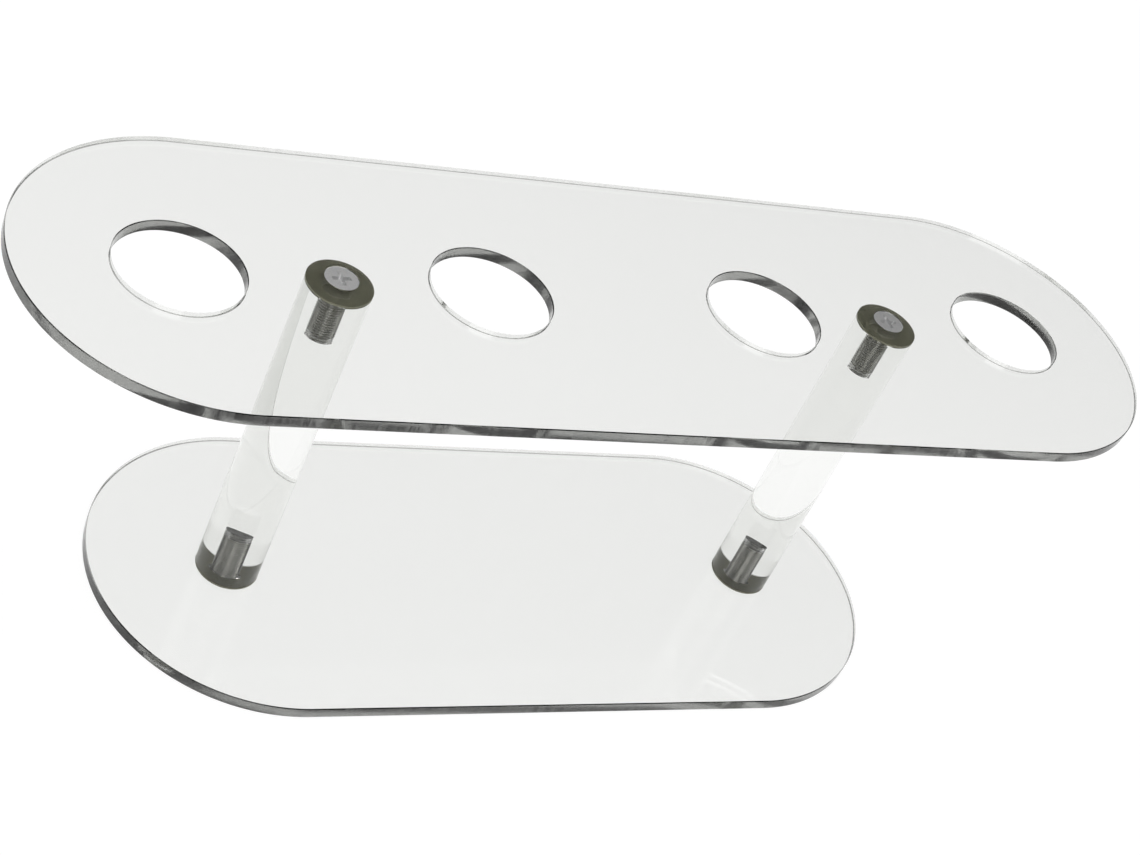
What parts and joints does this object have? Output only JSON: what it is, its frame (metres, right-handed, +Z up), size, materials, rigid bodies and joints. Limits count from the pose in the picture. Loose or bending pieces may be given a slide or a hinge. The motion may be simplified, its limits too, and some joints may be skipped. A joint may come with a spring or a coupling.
{
  "type": "pipette stand",
  "caption": "Clear acrylic pipette stand: a long obround top plate with round holes in a row, held over a shorter obround base by solid round posts and countersunk screws.",
  "frame": {"origin": "middle of the base plate's underside, on the bench", "axes": "+X along the row of holes, +Y to the back, +Z up"},
  "size_m": [0.3, 0.092, 0.097],
  "materials": {
    "plate_acrylic": "clear, polished",
    "post_acrylic": "clear, polished",
    "washer_grey": "smoky grey, slightly see-through",
    "screw_steel": "satin"
  },
  "bodies": {
    "root": {"top_plate": "plate_acrylic", "base_plate": "plate_acrylic", "left_post": "post_acrylic", "left_top_washer": "washer_grey", "left_base_washer": "washer_grey", "left_top_screw": "screw_steel", "left_base_screw": "screw_steel", "right_post": "post_acrylic", "right_top_washer": "washer_grey", "right_base_washer": "washer_grey", "right_top_screw": "screw_steel", "right_base_screw": "screw_steel"}
  },
  "joints": []
}
